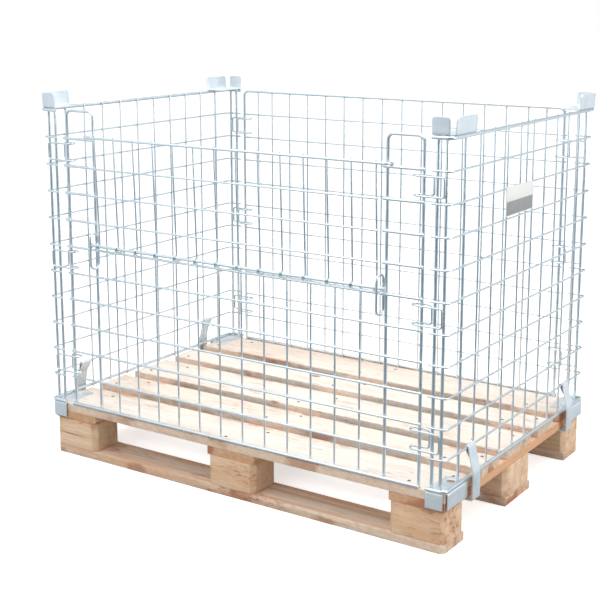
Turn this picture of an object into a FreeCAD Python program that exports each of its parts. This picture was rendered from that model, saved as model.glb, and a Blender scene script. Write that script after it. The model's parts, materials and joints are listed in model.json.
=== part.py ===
import FreeCAD, Part
import math
import os

# Collapsible wire mesh container standing on a flat wooden pallet, in millimetres.
# X runs along the pallet, Y across it with the drop gate on the -Y side, Z up from the floor.
os.makedirs("parts", exist_ok=True)
V = FreeCAD.Vector

# ---- pallet ----
pallet_l = 1200.0
pallet_w = 800.0
board_t = 22.0
block_h = 78.0
wide_board = 145.0          # outer and middle boards, all cross boards, block length
narrow_board = 100.0        # second and fourth deck boards, outer bottom boards, outer block width
block_chamfer = 12.0
nail_r = 4.5
nail_h = 0.6

# ---- mesh ----
levels = 11                 # spaces between the bottom rail and the top rail
pitch = 72.0
wire_d = 5.0
front_level_d = 6.0
rung_d = 8.0
sill_d = 7.0
rod_d = 8.0
rail_d = 9.0
mesh_inset_x = 2.5          # inner side of an end panel's level wires, in from the pallet end
mesh_out_y = 0.5            # inner side of their returns, out from the pallet side
corner_r = 12.0
return_len = 47.0           # how far the returns reach in from the pallet end
post_in = (14.0, 36.0)      # corner posts, in from the pallet end
end_upright_pitch = 72.5
end_uprights = 10
end_edge_upright_d = 7.0

# ---- sheet corners ----
sheet_t = 3.0
shoe_gap = 4.0              # drop-on clearance round the pallet
shoe_len_y = 107.0
shoe_skirt = 37.0
corner_slit = 10.0
shoe_hole_d = 20.0
shoe_hole_in = (31.0, 83.0)  # hole in the shoe's plate, in from its end and side edges
bracket_h = 40.0
bracket_flare = 3.0
bracket_round = 7.0

# ---- front and back panels ----
panel_back = 10.0           # centre of the panels' frame rods, in from the pallet side
panel_in = 72.0             # panels' outer rods, in from the pallet end
ladder_w = 91.0
panel_round = 15.0
level_over = 6.0            # how far level wires run past the outer rods
front_uprights = 12
front_open_level = 6
back_uprights = 14
back_inset = 104.2          # end of the even run of uprights, in from the outer rod
back_edge_in = 52.0

# ---- hinge rings ----
ring_d = 5.0
ring_levels = (1.5, 5.5, 9.5)
ring_h = 44.0
ring_on_post = 2.0
ring_past_rod = 21.0
ring_back_past = 20.0
ring_w = 22.0

# ---- drop gate ----
pivot_out = 7.0             # pivot rod, out from and above the sill rod
pivot_rise = 13.0
pivot_over = 10.0           # pivot rod past its guide rings
pivot_head_r = 7.0
pivot_head_t = 3.0
gate_lean = 2.0
gate_uprights = 14
gate_side = 12.0            # outermost upright, in from the guide rings
eye_gap = 0.15
hook_past = 13.0            # hooks past the ladders' inner rods
hook_gap = 0.5
hook_drop = 12.5
hook_r = 7.0
guide_d = 6.0
guide_gap = 0.5
guide_w = 30.0
guide_reach = (47.5, 45.5)  # below and above the sill rod

# ---- pallet clamps ----
clamp_w = 36.0
clamp_clear = 4.0           # from the strap to the corner block
clamp_t = 3.0
clamp_eye_gap = 0.3
clamp_out = 18.0            # middle of the hanging strap, out from the pallet end
clamp_knee = 60.0
clamp_loop = 25.0           # how far the curled end runs down from the wire
clamp_lip = 34.0
clamp_board_gap = 0.5

# ---- label ----
label_y = -55.0
label_w = 150.0
label_h = 68.0
label_t = 1.5
label_rise = 2.5

# derived positions
hl, hw = pallet_l / 2, pallet_w / 2
deck_z = board_t * 3 + block_h
mesh_x = hl - mesh_inset_x
return_end_x = hl - return_len
post_x = (hl - post_in[0], hl - post_in[1])
panel_x = hl - panel_in
ladder_x = panel_x - ladder_w
mesh_y = hw + mesh_out_y
shoe_top = deck_z + sheet_t
level0 = shoe_top + rail_d / 2
top_z = level0 + levels * pitch
sheet_x = hl + shoe_gap + sheet_t
sheet_y = hw + shoe_gap + sheet_t
post_y = mesh_y - rod_d / 2
panel_y = hw - panel_back
plane_y = panel_y + rod_d / 2
sill_y = -(plane_y + sill_d / 2)
clamp_y = hw - narrow_board - clamp_clear - clamp_w / 2


def level(k):
    return level0 + k * pitch


def save(name, solids):
    shape = solids[0] if len(solids) == 1 else Part.makeCompound(solids)
    shape.exportStep("parts/" + name + ".step")


def box(x0, x1, y0, y1, z0, z1):
    return Part.makeBox(x1 - x0, y1 - y0, z1 - z0, V(x0, y0, z0))


def span(x0, x1, y0, y1, z0, z1):
    return box(min(x0, x1), max(x0, x1), min(y0, y1), max(y0, y1), z0, z1)


def rod(a, b, d):
    a, b = V(*a), V(*b)
    return Part.makeCylinder(d / 2, (b - a).Length, a, b - a)


def bent(points, radii, d, closed=False):
    """A round rod bent through the points, with a radius at every bend."""
    pts = [V(*p) for p in points]
    n = len(pts)
    if closed:
        start = (pts[-1] + pts[0]) * 0.5
        corners = list(range(n))
    else:
        start = pts[0]
        corners = list(range(1, n - 1))
    edges = []
    here = start
    for i in corners:
        p = pts[i]
        a = (pts[i - 1] - p).normalize()
        b = (pts[(i + 1) % n] - p).normalize()
        r = radii[i]
        half = a.getAngle(b) / 2
        t = r / math.tan(half)
        p0, p1 = p + a * t, p + b * t
        mid = (a + b).normalize() * (r / math.sin(half) - r)
        if (p0 - here).Length > 0.01:
            edges.append(Part.makeLine(here, p0))
        edges.append(Part.Arc(p0, p + mid, p1).toShape())
        here = p1
    edges.append(Part.makeLine(here, start if closed else pts[-1]))
    path = Part.Wire(edges)
    along = (pts[0] - pts[-1]) if closed else (pts[1] - pts[0])
    ring = Part.Wire([Part.makeCircle(d / 2, start, along)])
    shape = path.makePipeShell([ring], True, False)
    return shape if shape.ShapeType == "Solid" else Part.Solid(shape)


def prism(points, vec):
    face = Part.Face(Part.makePolygon([V(*p) for p in points + points[:1]]))
    return face.extrude(V(*vec))


def fuse(solids):
    out = solids[0].multiFuse(solids[1:]).removeSplitter()
    return out.Solids[0] if len(out.Solids) == 1 else out


# ---------------------------------------------------------------- pallet
gap = (pallet_w - 3 * wide_board - 2 * narrow_board) / 4
y = -hw
for i, w in enumerate((wide_board, narrow_board, wide_board, narrow_board, wide_board)):
    save("deck_board_%d" % (i + 1), [box(-hl, hl, y, y + w, deck_z - board_t, deck_z)])
    y += w + gap
under_deck = deck_z - board_t
block_top = under_deck - board_t
cross_x = (-(hl - wide_board / 2), 0.0, hl - wide_board / 2)
outer_y = hw - narrow_board / 2
block_rows = ((-outer_y, narrow_board), (0.0, wide_board), (outer_y, narrow_board))
for side, cx in zip(("left", "middle", "right"), cross_x):
    x0, x1 = cx - wide_board / 2, cx + wide_board / 2
    save("cross_board_" + side, [box(x0, x1, -hw, hw, block_top, under_deck)])
    blocks = []
    for cy, w in block_rows:
        b = box(x0, x1, cy - w / 2, cy + w / 2, board_t, block_top)
        upright = [e for e in b.Edges if abs(e.tangentAt(e.FirstParameter).z) > 0.9]
        blocks.append(b.makeChamfer(block_chamfer, upright))
    save("blocks_" + side, blocks)
for name, (cy, w) in zip(("front", "middle", "back"), block_rows):
    save("bottom_board_" + name, [box(-hl, hl, cy - w / 2, cy + w / 2, 0, board_t)])

nails = []
y = -hw
for w in (wide_board, narrow_board, wide_board, narrow_board, wide_board):
    for cx in cross_x:
        for s in (-1, 1):
            p = V(cx + s * wide_board * 0.25, y + w / 2 + s * w * 0.28, deck_z)
            if abs(p.x) < return_end_x - nail_r or abs(p.y) < sheet_y - shoe_len_y - nail_r:
                nails.append(Part.makeCylinder(nail_r, nail_h, p))
    y += w + gap
save("pallet_nails", nails)


# ---------------------------------------------------------------- end panels
def hoop(side, z, d):
    """A level wire of an end panel, bent round both corners into short returns."""
    x, y = side * (mesh_x + d / 2), mesh_y + d / 2
    xe = side * return_end_x
    return bent([(xe, -y, z), (x, -y, z), (x, y, z), (xe, y, z)], [0, corner_r, corner_r, 0], d)


for side, s in (("left", -1), ("right", 1)):
    save("end_bottom_rail_" + side, [hoop(s, level(0), rail_d)])
    save("end_top_rail_" + side, [hoop(s, level(levels), rail_d)])
    save("end_level_wires_" + side, [hoop(s, level(k), wire_d) for k in range(1, levels)])
    uprights = []
    for i in range(end_uprights):
        d = end_edge_upright_d if i in (0, end_uprights - 1) else wire_d
        uy = (i - (end_uprights - 1) / 2) * end_upright_pitch
        ux = s * (mesh_x - d / 2)
        uprights.append(rod((ux, uy, shoe_top), (ux, uy, top_z + rail_d / 2), d))
    save("end_uprights_" + side, uprights)
    posts = []
    for t in (-1, 1):
        for px in post_x:
            a = (s * px, t * post_y, shoe_top)
            posts.append(rod(a, (a[0], a[1], top_z + rail_d / 2), rod_d))
    save("corner_posts_" + side, posts)


# ---------------------------------------------------------------- sheet corners
def corner_plate(s, t, z0, z1):
    xi, yi = return_end_x, sheet_y - shoe_len_y
    pts = [(xi, yi), (sheet_x, yi), (sheet_x, sheet_y - corner_slit),
           (sheet_x - corner_slit, sheet_y), (xi, sheet_y)]
    pts = [(s * x, t * y, z0) for x, y in pts]
    return prism(pts, (0, 0, z1 - z0))


def shoe(s, t):
    hx, hy = sheet_x - shoe_hole_in[0], sheet_y - shoe_hole_in[1]
    hole = rod((s * hx, t * hy, deck_z - 1), (s * hx, t * hy, shoe_top + 1), shoe_hole_d)
    plate = corner_plate(s, t, deck_z, shoe_top).cut(hole)
    low = shoe_top - sheet_t - shoe_skirt
    end_y = sheet_y - corner_slit
    side = span(s * return_end_x, s * (sheet_x - corner_slit), t * (sheet_y - sheet_t), t * sheet_y,
                low, shoe_top)
    end = span(s * (sheet_x - sheet_t), s * sheet_x, t * (sheet_y - shoe_len_y), t * end_y, low, shoe_top)
    return fuse([plate, side, end])


def flange(length):
    """Upright rounded flange standing on the X axis, its outer face at y = 0."""
    f = Part.makeBox(length, sheet_t, bracket_h, V(0, -sheet_t, 0))
    tops = [e for e in f.Edges if abs(e.tangentAt(e.FirstParameter).y) > 0.9 and e.CenterOfMass.z > 1]
    f = f.makeFillet(bracket_round, tops)
    f.rotate(V(0, 0, 0), V(1, 0, 0), -bracket_flare)
    return f


def bracket(s, t):
    z = top_z + rail_d / 2
    plate = corner_plate(1, 1, z, z + sheet_t)
    a = flange(sheet_x - corner_slit - return_end_x)
    a.translate(V(return_end_x, sheet_y, z))
    b = flange(shoe_len_y - corner_slit)
    b.rotate(V(0, 0, 0), V(0, 0, 1), -90)
    b.translate(V(sheet_x, sheet_y - corner_slit, z))
    out = fuse([plate, a, b])
    if s < 0:
        out = out.mirror(V(0, 0, 0), V(1, 0, 0))
    if t < 0:
        out = out.mirror(V(0, 0, 0), V(0, 1, 0))
    return out


corners = (("front_left", -1, -1), ("front_right", 1, -1), ("back_left", -1, 1), ("back_right", 1, 1))
for name, s, t in corners:
    save("shoe_" + name, [shoe(s, t)])
    save("bracket_" + name, [bracket(s, t)])

    # rings welded to the corner post that reach round the panel's outer rod
    yo = mesh_y + ring_d / 2
    yi = yo - ring_w
    turn = ring_w / 2 - 0.01
    ring_out_x = post_x[0] - ring_on_post
    ring_in_x = panel_x - ring_past_rod
    ring_back_x = panel_x + ring_back_past
    rings = []
    for k in ring_levels:
        z0, z1 = level(k) - ring_h / 2, level(k) + ring_h / 2
        pts = [(ring_out_x, yo, z0), (ring_out_x, yo, z1), (ring_in_x, yo, z1), (ring_in_x, yi, z1),
               (ring_back_x, yi, z1), (ring_back_x, yi, z0), (ring_in_x, yi, z0), (ring_in_x, yo, z0)]
        rings.append(bent([(s * x, t * y, z) for x, y, z in pts],
                          [6, 6, turn, turn, 6, 6, turn, turn], ring_d, closed=True))
    save("hinge_rings_" + name, rings)

# ---------------------------------------------------------------- front panel
level_end = panel_x + level_over
upright_y = plane_y - wire_d / 2
upright_gap = 2 * ladder_x / (front_uprights + 1)
rail_y = plane_y + rail_d / 2
rail_z = deck_z + rail_d / 2
rail_end = panel_x + rod_d / 2
for side, s in (("left", -1), ("right", 1)):
    pts = [(panel_x, deck_z), (panel_x, top_z), (ladder_x, top_z), (ladder_x, deck_z)]
    save("front_ladder_" + side, [bent([(s * x, -panel_y, z) for x, z in pts],
                                       [0, panel_round, panel_round, 0], rod_d)])
rungs = []
for s in (-1, 1):
    for k in range(front_open_level + 1, levels):
        ry = -(plane_y + rung_d / 2)
        rungs.append(rod((s * (ladder_x - level_over), ry, level(k)), (s * level_end, ry, level(k)), rung_d))
save("front_rungs", rungs)
save("front_level_wires", [rod((-level_end, -(plane_y + front_level_d / 2), level(k)),
                               (level_end, -(plane_y + front_level_d / 2), level(k)), front_level_d)
                           for k in range(1, front_open_level)])
sill_z = level(front_open_level)
save("front_sill_rod", [rod((-level_end, sill_y, sill_z), (level_end, sill_y, sill_z), sill_d)])
save("front_bottom_rail", [rod((-rail_end, -rail_y, rail_z), (rail_end, -rail_y, rail_z), rail_d)])
front_x = [(i + 1) * upright_gap - ladder_x for i in range(front_uprights)]
upright_top = sill_z + (sill_d + wire_d) / 2
save("front_uprights", [rod((x, -upright_y, deck_z), (x, -upright_y, upright_top), wire_d) for x in front_x])
guides = []
guide_x = ladder_x - rod_d / 2 - guide_gap - guide_d / 2
guide_z = (sill_z - guide_reach[0], sill_z + guide_reach[1])
for s in (-1, 1):
    yb = sill_y + sill_d / 2 + guide_d / 2
    pts = [(yb, guide_z[1]), (yb - guide_w, guide_z[1]), (yb - guide_w, guide_z[0]), (yb, guide_z[0])]
    turn = guide_w / 2 - 0.01
    guides.append(bent([(s * guide_x, gy, gz) for gy, gz in pts], [turn] * 4, guide_d, closed=True))
save("gate_guide_rings", guides)

# ---------------------------------------------------------------- back panel
pts = [(-panel_x, deck_z), (-panel_x, top_z), (panel_x, top_z), (panel_x, deck_z)]
save("back_frame", [bent([(x, panel_y, z) for x, z in pts], [0, panel_round, panel_round, 0], rod_d)])
wire_y = plane_y + wire_d / 2
save("back_level_wires", [rod((-level_end, wire_y, level(k)), (level_end, wire_y, level(k)), wire_d)
                          for k in range(1, levels)])
save("back_bottom_rail", [rod((-rail_end, rail_y, rail_z), (rail_end, rail_y, rail_z), rail_d)])
back_pitch = 2 * (panel_x - back_inset) / (back_uprights - 1)
back_x = [(i - (back_uprights - 1) / 2) * back_pitch for i in range(back_uprights)]
back_edge_x = panel_x - back_edge_in
save("back_uprights", [rod((x, upright_y, deck_z), (x, upright_y, top_z - rod_d / 2), wire_d)
                       for x in [-back_edge_x] + back_x + [back_edge_x]])

# ---------------------------------------------------------------- drop gate
lean = math.radians(gate_lean)
up = V(0, -math.sin(lean), math.cos(lean))
out = V(0, -math.cos(lean), -math.sin(lean))
pivot_y, pivot_z = sill_y - pivot_out, sill_z + pivot_rise
pivot_half = guide_x + pivot_over
gate_half = guide_x - gate_side
pivot = V(0, pivot_y, pivot_z)


def on_gate(x, s, off):
    p = pivot + up * s + out * off
    return (x, p.y, p.z)


heads = [rod((s * pivot_half, pivot_y, pivot_z), (s * (pivot_half + pivot_head_t), pivot_y, pivot_z),
             2 * pivot_head_r) for s in (-1, 1)]
save("gate_pivot_rod", [fuse([rod((-pivot_half, pivot_y, pivot_z), (pivot_half, pivot_y, pivot_z), rod_d)]
                             + heads)])

eye_r = rod_d / 2 + eye_gap + wire_d / 2
rung_top = level(levels - 1) + rung_d / 2
top_rod_z = rung_top + hook_gap + sill_d / 2
top_off = (wire_d + sill_d) / 2 - eye_r
top_s = (top_rod_z - pivot_z + top_off * math.sin(lean)) / math.cos(lean)
top_y = on_gate(0, top_s, top_off)[1]
hook_x = ladder_x + hook_past
hook_y = -plane_y + hook_gap + sill_d / 2
tip = top_rod_z - hook_drop
pts = [(-hook_x, hook_y, tip), (-hook_x, hook_y, top_rod_z), (-hook_x, top_y, top_rod_z),
       (hook_x, top_y, top_rod_z), (hook_x, hook_y, top_rod_z), (hook_x, hook_y, tip)]
save("gate_top_rod", [bent(pts, [0] + [hook_r] * 4 + [0], sill_d)])

wires = []
for k in range(front_open_level + 1, levels - 1):
    s, off = (level(k) - pivot_z) / math.cos(lean), wire_d - eye_r
    end = gate_half + level_over
    wires.append(rod(on_gate(-end, s, off), on_gate(end, s, off), wire_d))
save("gate_cross_wires", wires)

uprights = []
for i in range(gate_uprights):
    x = -gate_half + i * 2 * gate_half / (gate_uprights - 1)
    # each upright runs down the inner side of the pivot rod and curls under and up its outer side
    curl = []
    for a in (0, 135, 270):
        a = math.radians(a)
        curl.append(V(*on_gate(x, -eye_r * math.sin(a), -eye_r * math.cos(a))))
    head = V(*on_gate(x, top_s + wire_d, -eye_r))
    path = Part.Wire([Part.makeLine(head, curl[0]), Part.Arc(*curl).toShape()])
    shape = path.makePipeShell([Part.Wire([Part.makeCircle(wire_d / 2, head, up)])], True, False)
    uprights.append(shape if shape.ShapeType == "Solid" else Part.Solid(shape))
save("gate_uprights", uprights)


# ---------------------------------------------------------------- pallet clamps
def clamp(s, t):
    """Strap looped round the lowest level wire, slanting out past the rail and hooked under the pallet."""
    px, pz = mesh_x + wire_d / 2, level(1)
    r0 = wire_d / 2 + clamp_eye_gap
    mid = r0 + clamp_t / 2
    xs = hl + clamp_out
    zl = block_top - clamp_board_gap - clamp_t / 2
    slant = math.atan2(xs - px, clamp_knee)
    down = (math.sin(slant), -math.cos(slant))
    side = (math.cos(slant), math.sin(slant))
    nip = (clamp_t + clamp_eye_gap) / 2
    line = [(px - side[0] * nip + down[0] * clamp_loop, pz - side[1] * nip + down[1] * clamp_loop)]
    for i in range(10):
        a = slant + math.pi * (1 - i / 9)
        line.append((px + mid * math.cos(a), pz + mid * math.sin(a)))
    line.append((px + side[0] * nip + down[0] * clamp_loop, pz + side[1] * nip + down[1] * clamp_loop))
    line += [(xs, pz - clamp_knee), (xs, zl), (xs - clamp_lip, zl)]
    y0 = clamp_y - clamp_w / 2
    solids = []
    h = clamp_t / 2
    for (xa, za), (xb, zb) in zip(line, line[1:]):
        n = math.hypot(xb - xa, zb - za)
        nx, nz = -(zb - za) / n * h, (xb - xa) / n * h
        solids.append(prism([(xa + nx, y0, za + nz), (xb + nx, y0, zb + nz), (xb - nx, y0, zb - nz),
                             (xa - nx, y0, za - nz)], (0, clamp_w, 0)))
    for x, z in line[1:-1]:
        solids.append(Part.makeCylinder(h, clamp_w, V(x, y0, z), V(0, 1, 0)))
    strap = fuse(solids)
    strap = strap.cut(Part.makeCylinder(r0, clamp_w, V(px, y0, pz), V(0, 1, 0)))
    strap = strap.Solids[0]
    if s < 0:
        strap = strap.mirror(V(0, 0, 0), V(1, 0, 0))
    if t < 0:
        strap = strap.mirror(V(0, 0, 0), V(0, 1, 0))
    return strap


for name, s, t in corners:
    save("clamp_" + name, [clamp(s, t)])

# ---------------------------------------------------------------- label plate
label_x = mesh_x + wire_d
label_top = level(levels - 2) + label_rise
save("label_plate", [box(label_x, label_x + label_t, label_y - label_w / 2, label_y + label_w / 2,
                         label_top - label_h, label_top)])
clips = []
for n in (end_uprights / 2 - 2, end_uprights / 2 - 1):
    cy = (n - (end_uprights - 1) / 2) * end_upright_pitch
    z = label_top - label_h * 0.75
    clips.append(box(mesh_x, label_x, cy - wire_d, cy + wire_d, z, z + 3 * wire_d))
save("label_clips", clips)
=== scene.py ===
import json
import math
import random

import bmesh
import bpy
import numpy as np
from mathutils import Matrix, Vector, noise

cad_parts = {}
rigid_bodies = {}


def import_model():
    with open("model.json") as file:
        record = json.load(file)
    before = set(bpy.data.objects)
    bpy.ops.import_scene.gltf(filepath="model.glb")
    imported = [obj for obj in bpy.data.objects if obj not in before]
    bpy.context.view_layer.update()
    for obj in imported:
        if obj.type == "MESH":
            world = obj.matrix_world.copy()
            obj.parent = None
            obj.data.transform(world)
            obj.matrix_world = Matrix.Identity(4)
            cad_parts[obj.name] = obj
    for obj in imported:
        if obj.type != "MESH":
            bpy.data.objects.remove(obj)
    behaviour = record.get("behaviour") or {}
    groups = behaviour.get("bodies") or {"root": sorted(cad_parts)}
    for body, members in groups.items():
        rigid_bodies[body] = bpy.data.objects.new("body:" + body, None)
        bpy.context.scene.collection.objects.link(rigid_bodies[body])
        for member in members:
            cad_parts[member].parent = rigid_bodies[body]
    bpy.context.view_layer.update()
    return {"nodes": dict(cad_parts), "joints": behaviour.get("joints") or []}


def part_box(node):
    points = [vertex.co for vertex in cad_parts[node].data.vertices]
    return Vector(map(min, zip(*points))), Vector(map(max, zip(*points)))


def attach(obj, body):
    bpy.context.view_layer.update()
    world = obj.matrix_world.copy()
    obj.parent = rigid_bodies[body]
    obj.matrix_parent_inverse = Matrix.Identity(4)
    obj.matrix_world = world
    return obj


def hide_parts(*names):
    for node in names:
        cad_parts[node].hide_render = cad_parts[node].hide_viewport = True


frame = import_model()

MM = 0.001
CORNERS = (("front_left", -1, -1), ("front_right", 1, -1), ("back_left", -1, 1), ("back_right", 1, 1))
SIDES = (("left", -1), ("right", 1))
ROOM_FRONT = (0.555, -0.832, 0.0)  # level direction of the studio's dim side, which keeps contrast in the bright metal
ROUND_END = 0.97  # bend radius as a share of half the width, so that two bends side by side don't meet
joints = {j["name"]: j for j in frame["joints"]}


def add_node(tree, kind, values=(), **settings):
    """Adds a node; a value that is another node's socket is linked, any other is set."""
    n = tree.nodes.new(kind)
    for key, value in settings.items():
        setattr(n, key, value)
    for key, value in dict(values).items():
        if hasattr(value, "links"):
            tree.links.new(value, n.inputs[key])
        else:
            n.inputs[key].default_value = value
    return n


# ------------------------------------------------------------------ finishes
class Finish:
    """One material's node tree, built a node at a time."""

    def __init__(self, name, **shader):
        self.material = bpy.data.materials.new(name)
        self.material.use_nodes = True
        self.tree = self.material.node_tree
        self.shader = self.tree.nodes["Principled BSDF"]
        for key, value in shader.items():
            self.shader.inputs[key.replace("_", " ").title().replace("Ior", "IOR")].default_value = value

    def node(self, kind, values=(), **settings):
        return add_node(self.tree, kind, values, **settings)

    def place(self):
        return self.node("ShaderNodeTexCoord").outputs["Object"]

    def read(self, name, what="Fac"):
        return self.node("ShaderNodeAttribute", attribute_name=name).outputs[what]

    def sums(self, op, a, b=0.0, c=0.0, clamp=False):
        return self.node("ShaderNodeMath", {0: a, 1: b, 2: c}, operation=op, use_clamp=clamp).outputs[0]

    def vec(self, op, a, b=(0, 0, 0)):
        n = self.node("ShaderNodeVectorMath", {0: a, 1: b}, operation=op)
        return n.outputs["Value" if op in ("LENGTH", "DOT_PRODUCT") else "Vector"]

    def noise(self, where, scale, detail=2.0, rough=0.5, out="Fac"):
        return self.node("ShaderNodeTexNoise", {"Vector": where, "Scale": scale, "Detail": detail,
                                                "Roughness": rough}).outputs[out]

    def stretched(self, where, by, detail=2.0, rough=0.5, out="Fac"):
        """Noise with its own scale along each axis."""
        return self.noise(self.vec("MULTIPLY", where, by), 1.0, detail, rough, out)

    def span(self, value, low, high, to_low=0.0, to_high=1.0, smooth=False):
        return self.node("ShaderNodeMapRange", {0: value, 1: low, 2: high, 3: to_low, 4: to_high},
                         interpolation_type="SMOOTHSTEP" if smooth else "LINEAR").outputs[0]

    def blend(self, amount, a, b, way="MIX"):
        return self.node("ShaderNodeMix", {0: amount, 6: a, 7: b}, data_type="RGBA", blend_type=way).outputs[2]

    def bump(self, height, depth, strength=1.0, under=None):
        values = {"Height": height, "Distance": depth, "Strength": strength}
        if under is not None:
            values["Normal"] = under
        return self.node("ShaderNodeBump", values).outputs[0]

    def finish(self, colour=None, rough=None, normal=None):
        for key, value in (("Base Color", colour), ("Roughness", rough), ("Normal", normal)):
            if value is not None:
                self.tree.links.new(value, self.shader.inputs[key])
        return self.material


def bright_zinc_wire():
    """Drawn steel wire, zinc plated: fine draw lines, cloudy blue-silver plating, dull rubbed spots."""
    f = Finish("bright_zinc_wire", metallic=1.0)
    place = f.place()
    # draw lines run lengthways: quick changes round the wire, slow ones along it
    rim_y, rim_z, _ = f.node("ShaderNodeSeparateXYZ", {0: f.read("rim", "Vector")}).outputs
    run = f.sums("MULTIPLY", f.read("run"), 9.0)
    lines = f.node("ShaderNodeCombineXYZ", {"X": rim_y, "Y": rim_z, "Z": run}).outputs[0]
    draw = f.noise(lines, 7.0, 3.0, 0.6)
    clouds = f.noise(place, 42.0, 3.0, 0.55)
    spots = f.span(f.noise(place, 260.0, 3.0, 0.65), 0.56, 0.72)
    colour = f.blend(f.span(clouds, 0.3, 0.7), (0.70, 0.77, 0.81, 1), (0.80, 0.86, 0.89, 1))
    colour = f.blend(f.sums("MULTIPLY", spots, 0.25), colour, (0.50, 0.55, 0.57, 1))
    colour = f.blend(f.span(draw, 0.35, 0.75, 0.0, 0.25), colour, (0.86, 0.91, 0.94, 1))
    rough = f.sums("ADD", f.span(clouds, 0.3, 0.7, 0.26, 0.34), f.sums("MULTIPLY", spots, 0.16))
    normal = f.bump(f.noise(place, 700.0, 2.0), 0.00004, 0.3)
    normal = f.bump(draw, 0.00006, 0.3, normal)
    return f.finish(colour, rough, normal)


def plated_sheet():
    """Pressed zinc-plated sheet: matt, cloudy, with rolling lines and rubbed bright edges."""
    f = Finish("plated_sheet", metallic=0.85)
    place = f.place()
    clouds = f.noise(place, 24.0, 4.0, 0.6)
    flakes = f.node("ShaderNodeTexVoronoi", {"Vector": place, "Scale": 210.0}).outputs["Color"]
    flake = f.node("ShaderNodeSeparateXYZ", {0: flakes}).outputs[0]
    scratch = f.stretched(place, (900.0, 900.0, 60.0), 2.0)
    colour = f.blend(f.span(clouds, 0.3, 0.7), (0.73, 0.80, 0.85, 1), (0.88, 0.92, 0.94, 1))
    colour = f.blend(f.sums("MULTIPLY", flake, 0.14), colour, (0.78, 0.84, 0.88, 1))
    worn = f.sums("MULTIPLY", f.read("arris"), f.span(f.noise(place, 130.0, 3.0), 0.35, 0.6))
    colour = f.blend(f.sums("MULTIPLY", worn, 0.6), colour, (0.86, 0.88, 0.89, 1))
    grime = f.span(f.noise(place, 75.0, 4.0, 0.7), 0.6, 0.8, 0.0, 0.3)
    colour = f.blend(grime, colour, (0.34, 0.35, 0.34, 1))
    rough = f.sums("ADD", f.span(clouds, 0.25, 0.75, 0.42, 0.54), f.sums("MULTIPLY", worn, -0.12))
    rough = f.sums("ADD", rough, f.sums("MULTIPLY", flake, 0.05))
    normal = f.bump(scratch, 0.00006, 0.5)
    normal = f.bump(f.noise(place, 480.0, 3.0), 0.0001, 0.5, normal)
    return f.finish(colour, rough, normal)


def weld_metal():
    """Plated weld: lumpy, duller than the wire, brown-grey heat tint."""
    f = Finish("plated_weld", metallic=0.9)
    place = f.place()
    lumps = f.noise(place, 700.0, 2.0)
    colour = f.blend(f.span(f.noise(place, 60.0, 2.0), 0.35, 0.65), (0.66, 0.72, 0.76, 1), (0.50, 0.54, 0.56, 1))
    return f.finish(colour, f.span(lumps, 0.3, 0.7, 0.38, 0.55), f.bump(lumps, 0.0003, 0.7))


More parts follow.
